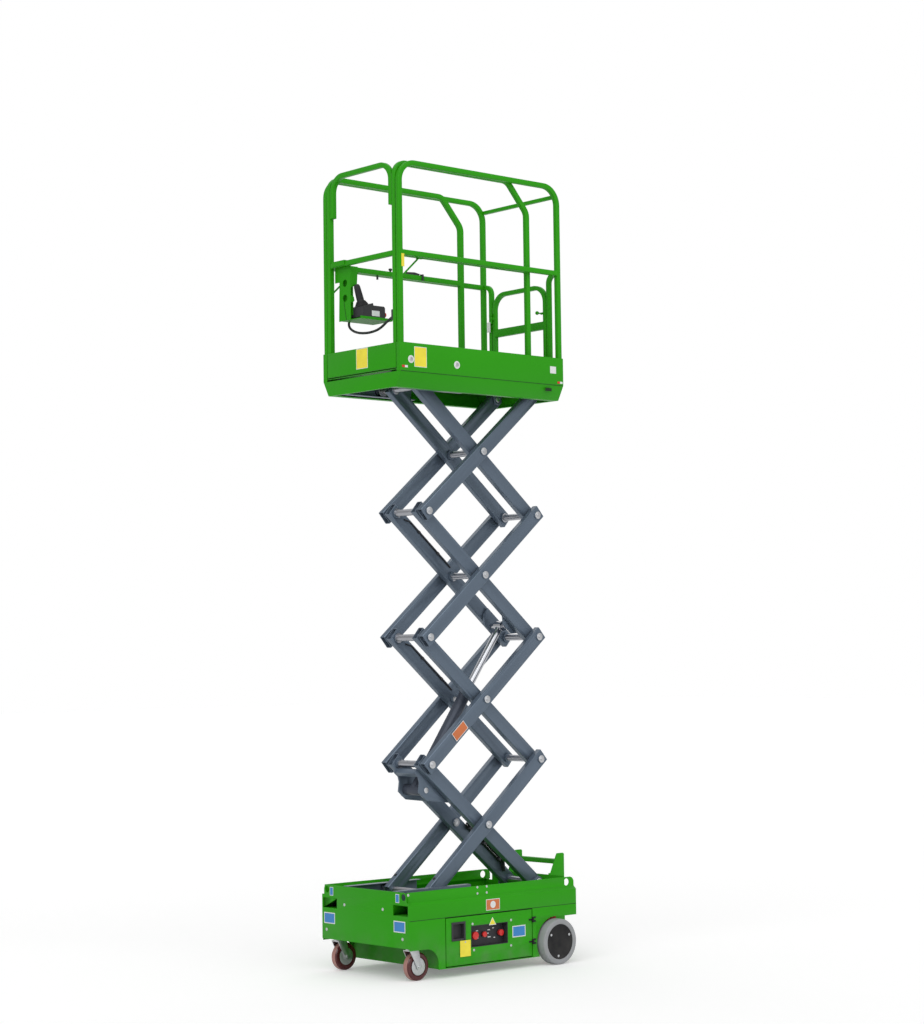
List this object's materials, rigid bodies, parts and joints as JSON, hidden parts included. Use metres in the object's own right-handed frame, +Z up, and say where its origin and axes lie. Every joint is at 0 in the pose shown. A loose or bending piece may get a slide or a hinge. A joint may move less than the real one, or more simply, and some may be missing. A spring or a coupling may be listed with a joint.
{
  "type": "scissor lift",
  "caption": "Self-propelled electric scissor lift with a raised railed platform, sliding deck extension, half-height entry gate and a compact wheeled base.",
  "frame": {"origin": "middle of the bounding box's bottom face, on the ground", "axes": "+X towards the caster end that the sliding deck extends over, +Y to the machine's left side, +Z up"},
  "size_m": [1.32, 0.826, 4.394],
  "materials": {
    "green_paint": "satin green paint",
    "arm_paint": "satin blue-grey paint",
    "dark_paint": "satin black paint",
    "red_paint": "satin red paint",
    "deck_plate": "textured green paint",
    "zinc": "zinc plated",
    "roller_steel": "turned steel",
    "chrome_rod": "hard chrome",
    "drive_tyre": "grey non-marking rubber",
    "caster_tread": "maroon polyurethane",
    "black_plastic": "moulded black",
    "cable_rubber": "black sheath"
  },
  "bodies": {
    "chassis": {"chassis_tray": "green_paint", "caster_plates": "zinc", "lower_hull": "green_paint", "side_skins": "green_paint", "base_slide_tracks": "arm_paint", "base_pivot_lugs": "arm_paint", "entry_ladder": "green_paint", "battery_block": "black_plastic", "power_unit": "black_plastic", "drive_units": "red_paint"},
    "door_left": {"door_left": "green_paint", "ground_control_panel": "black_plastic", "charger_inlet": "black_plastic"},
    "door_right": {"door_right": "green_paint"},
    "drive_wheel_left": {"drive_tyre_left": "drive_tyre", "drive_hub_left": "dark_paint"},
    "drive_wheel_right": {"drive_tyre_right": "drive_tyre", "drive_hub_right": "dark_paint"},
    "caster_fork_left": {"caster_fork_left": "zinc"},
    "caster_fork_right": {"caster_fork_right": "zinc"},
    "caster_wheel_left": {"caster_wheel_left": "caster_tread"},
    "caster_wheel_right": {"caster_wheel_right": "caster_tread"},
    "inner_1": {"inner_arms_1": "arm_paint", "inner_pins_1": "zinc"},
    "inner_2": {"inner_arms_2": "arm_paint", "inner_pins_2": "zinc"},
    "inner_3": {"inner_arms_3": "arm_paint", "inner_pins_3": "zinc"},
    "inner_4": {"inner_arms_4": "arm_paint", "inner_pins_4": "zinc", "deck_rollers": "roller_steel"},
    "outer_1": {"outer_arms_1": "arm_paint", "base_rollers": "roller_steel"},
    "outer_2": {"outer_arms_2": "arm_paint"},
    "outer_3": {"outer_arms_3": "arm_paint"},
    "outer_4": {"outer_arms_4": "arm_paint"},
    "barrel": {"cylinder_barrel": "dark_paint"},
    "rod": {"cylinder_rod": "chrome_rod"},
    "platform": {"platform_frame": "green_paint", "main_deck": "deck_plate", "platform_pivot_lugs": "arm_paint", "platform_pivot_pins": "zinc", "platform_slide_tracks": "arm_paint", "toe_boards": "green_paint", "guard_rail_left": "green_paint", "guard_rail_right": "green_paint", "rear_gate_posts": "green_paint"},
    "gate": {"rear_gate": "green_paint"},
    "extension": {"extension_deck": "deck_plate", "extension_toe_board": "green_paint", "extension_rail_left": "green_paint", "extension_rail_right": "green_paint", "front_rail": "green_paint", "control_bracket": "green_paint", "control_box": "black_plastic", "joystick": "black_plastic", "control_cable": "cable_rubber", "cable_socket": "black_plastic", "deck_latch": "zinc"}
  },
  "joints": [
    {"name": "lift", "type": "hinge", "parent": "chassis", "child": "inner_1", "pos_m": [-0.482, 0, 0.432], "axis": [0, -1, 0], "range_deg": [-35.7, 13.6]},
    {"name": "stage_1_centre", "type": "hinge", "parent": "inner_1", "child": "outer_1", "pos_m": [-0.07572, 0, 0.77777], "axis": [0, -1, 0], "range_deg": [-27.2, 71.4]},
    {"name": "stage_2_front", "type": "hinge", "parent": "inner_1", "child": "outer_2", "pos_m": [0.33056, 0, 1.12354], "axis": [0, -1, 0], "range_deg": [-27.2, 71.4]},
    {"name": "stage_2_centre", "type": "hinge", "parent": "outer_2", "child": "inner_2", "pos_m": [-0.07572, 0, 1.46932], "axis": [0, -1, 0], "range_deg": [-71.4, 27.2]},
    {"name": "stage_3_rear", "type": "hinge", "parent": "outer_2", "child": "inner_3", "pos_m": [-0.482, 0, 1.81509], "axis": [0, -1, 0], "range_deg": [-71.4, 27.2]},
    {"name": "stage_3_centre", "type": "hinge", "parent": "inner_3", "child": "outer_3", "pos_m": [-0.07572, 0, 2.16086], "axis": [0, -1, 0], "range_deg": [-27.2, 71.4]},
    {"name": "stage_4_front", "type": "hinge", "parent": "inner_3", "child": "outer_4", "pos_m": [0.33056, 0, 2.50663], "axis": [0, -1, 0], "range_deg": [-27.2, 71.4]},
    {"name": "stage_4_centre", "type": "hinge", "parent": "outer_4", "child": "inner_4", "pos_m": [-0.07572, 0, 2.8524], "axis": [0, -1, 0], "range_deg": [-71.4, 27.2]},
    {"name": "platform_pivot", "type": "hinge", "parent": "outer_4", "child": "platform", "pos_m": [-0.482, 0, 3.19818], "axis": [0, -1, 0], "range_deg": [-35.7, 13.6]},
    {"name": "cylinder_eye", "type": "hinge", "parent": "inner_1", "child": "barrel", "pos_m": [0.29059, 0, 0.97949], "axis": [0, -1, 0], "range_deg": [-28, 73.5]},
    {"name": "cylinder_stroke", "type": "slide", "parent": "barrel", "child": "rod", "axis": [-0.582, 0, 0.8132], "range_m": [-0.2867, 0.1093]},
    {"name": "deck_extension", "type": "slide", "parent": "platform", "child": "extension", "axis": [1, 0, 0], "range_m": [0, 0.6]},
    {"name": "gate_hinge", "type": "hinge", "parent": "platform", "child": "gate", "pos_m": [-0.528, -0.2305, 3.51], "axis": [0, 0, -1], "range_deg": [0, 90]},
    {"name": "door_left_hinge", "type": "hinge", "parent": "chassis", "child": "door_left", "pos_m": [-0.225, 0.377, 0.199], "axis": [0, 0, 1], "range_deg": [0, 110]},
    {"name": "door_right_hinge", "type": "hinge", "parent": "chassis", "child": "door_right", "pos_m": [-0.225, -0.377, 0.199], "axis": [0, 0, -1], "range_deg": [0, 110]},
    {"name": "caster_swivel_left", "type": "hinge", "parent": "chassis", "child": "caster_fork_left", "pos_m": [0.597, 0.306, 0.17], "axis": [0, 0, 1], "continuous": true},
    {"name": "caster_roll_left", "type": "hinge", "parent": "caster_fork_left", "child": "caster_wheel_left", "pos_m": [0.562, 0.306, 0.075], "axis": [0, 1, 0], "continuous": true},
    {"name": "drive_roll_left", "type": "hinge", "parent": "chassis", "child": "drive_wheel_left", "pos_m": [-0.397, 0.3805, 0.125], "axis": [0, 1, 0], "continuous": true},
    {"name": "caster_swivel_right", "type": "hinge", "parent": "chassis", "child": "caster_fork_right", "pos_m": [0.597, -0.306, 0.17], "axis": [0, 0, 1], "continuous": true},
    {"name": "caster_roll_right", "type": "hinge", "parent": "caster_fork_right", "child": "caster_wheel_right", "pos_m": [0.562, -0.306, 0.075], "axis": [0, 1, 0], "continuous": true},
    {"name": "drive_roll_right", "type": "hinge", "parent": "chassis", "child": "drive_wheel_right", "pos_m": [-0.397, -0.3805, 0.125], "axis": [0, 1, 0], "continuous": true}
  ],
  "couplings": [
    {"joint": "stage_1_centre", "follows": "lift", "ratio": -2},
    {"joint": "stage_2_front", "follows": "lift", "ratio": -2},
    {"joint": "stage_2_centre", "follows": "lift", "ratio": 2},
    {"joint": "stage_3_rear", "follows": "lift", "ratio": 2},
    {"joint": "stage_3_centre", "follows": "lift", "ratio": -2},
    {"joint": "stage_4_front", "follows": "lift", "ratio": -2},
    {"joint": "stage_4_centre", "follows": "lift", "ratio": 2},
    {"joint": "platform_pivot", "follows": "lift", "ratio": 1},
    {"joint": "cylinder_eye", "follows": "lift", "ratio": -2.058},
    {"joint": "cylinder_stroke", "follows": "lift", "m_per_rad": 0.46}
  ]
}
